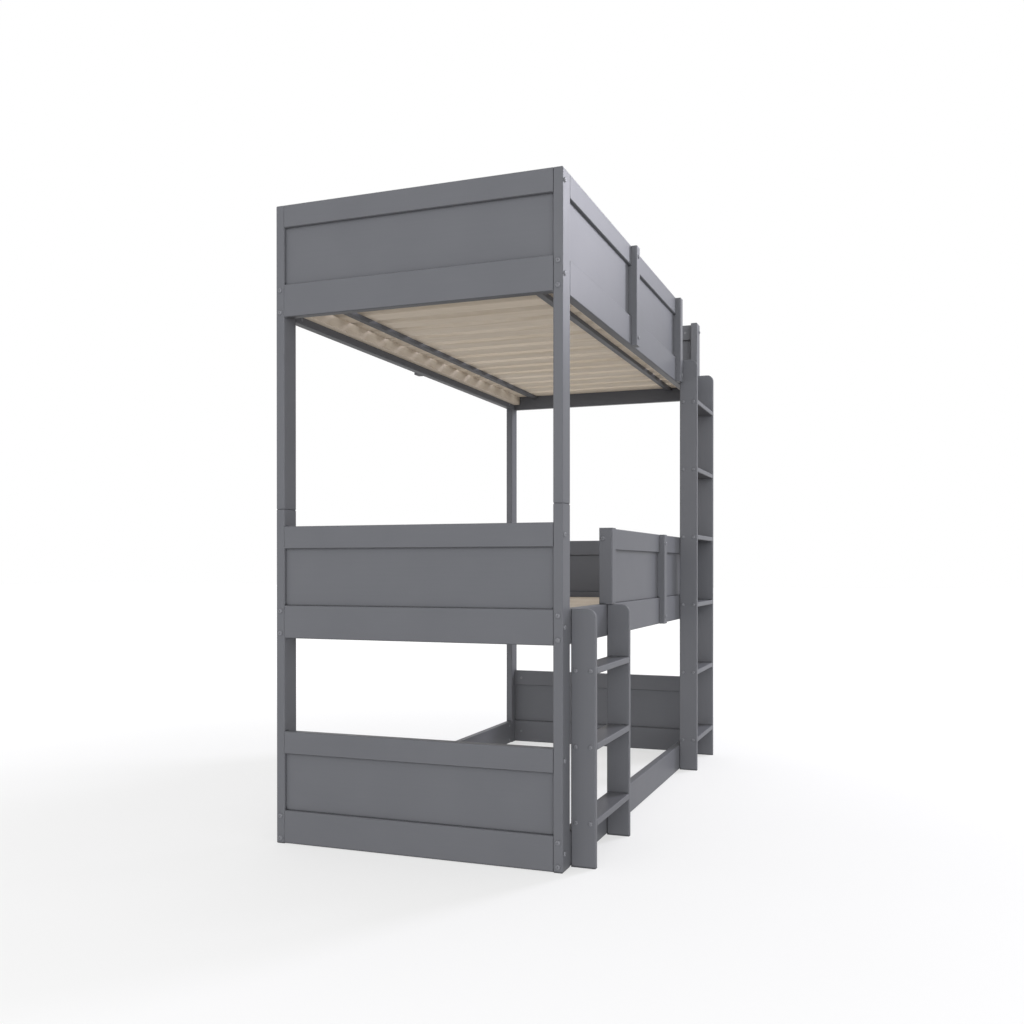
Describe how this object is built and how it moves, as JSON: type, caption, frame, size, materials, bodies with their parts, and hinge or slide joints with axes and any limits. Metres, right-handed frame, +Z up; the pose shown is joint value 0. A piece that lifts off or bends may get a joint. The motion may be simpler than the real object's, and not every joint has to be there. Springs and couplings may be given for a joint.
{
  "type": "triple bunk bed",
  "caption": "Panelled bunk bed in painted wood with a floor bed, a middle and a top slatted bunk, panelled guards, and a short and a tall bolted ladder.",
  "frame": {"origin": "on the floor under the middle of the whole bed's box, ladders included", "axes": "X along the bed towards the tall ladder's end, Y across the bed away from the ladders, Z up"},
  "size_m": [2.129, 1.07, 2.05],
  "materials": {
    "grey_paint": "satin",
    "bare_wood": "matte",
    "bolt_steel": "satin"
  },
  "bodies": {
    "root": {"bottom_back_side_rail": "grey_paint", "bottom_front_side_rail": "grey_paint", "bottom_left_end_bottom_rail": "grey_paint", "bottom_left_end_panel": "grey_paint", "bottom_left_end_top_rail": "grey_paint", "bottom_right_end_bottom_rail": "grey_paint", "bottom_right_end_panel": "grey_paint", "bottom_right_end_top_rail": "grey_paint", "end_rail_bolts": "bolt_steel", "guard_bolts": "bolt_steel", "ladder_bolts": "bolt_steel", "lower_post_back_left": "grey_paint", "lower_post_back_right": "grey_paint", "lower_post_front_left": "grey_paint", "lower_post_front_right": "grey_paint", "middle_back_guard_panels": "grey_paint", "middle_back_guard_post": "grey_paint", "middle_back_guard_rail": "grey_paint", "middle_back_side_rail": "grey_paint", "middle_front_guard_end_post": "grey_paint", "middle_front_guard_panels": "grey_paint", "middle_front_guard_post": "grey_paint", "middle_front_guard_rail": "grey_paint", "middle_front_side_rail": "grey_paint", "middle_left_end_bottom_rail": "grey_paint", "middle_left_end_panel": "grey_paint", "middle_left_end_top_rail": "grey_paint", "middle_right_end_bottom_rail": "grey_paint", "middle_right_end_panel": "grey_paint", "middle_right_end_top_rail": "grey_paint", "middle_slats": "bare_wood", "short_ladder_left_stile": "grey_paint", "short_ladder_right_stile": "grey_paint", "short_ladder_steps": "grey_paint", "side_rail_bolts": "bolt_steel", "slat_bars": "grey_paint", "slat_ledgers": "bare_wood", "tall_ladder_left_stile": "grey_paint", "tall_ladder_right_stile": "grey_paint", "tall_ladder_steps": "grey_paint", "top_back_guard_panels": "grey_paint", "top_back_guard_post": "grey_paint", "top_back_guard_rail": "grey_paint", "top_back_side_rail": "grey_paint", "top_front_guard_end_post": "grey_paint", "top_front_guard_panels": "grey_paint", "top_front_guard_post": "grey_paint", "top_front_guard_rail": "grey_paint", "top_front_side_rail": "grey_paint", "top_left_end_bottom_rail": "grey_paint", "top_left_end_panel": "grey_paint", "top_left_end_top_rail": "grey_paint", "top_right_end_bottom_rail": "grey_paint", "top_right_end_panel": "grey_paint", "top_right_end_top_rail": "grey_paint", "top_slats": "bare_wood", "upper_post_back_left": "grey_paint", "upper_post_back_right": "grey_paint", "upper_post_front_left": "grey_paint", "upper_post_front_right": "grey_paint"}
  },
  "joints": []
}
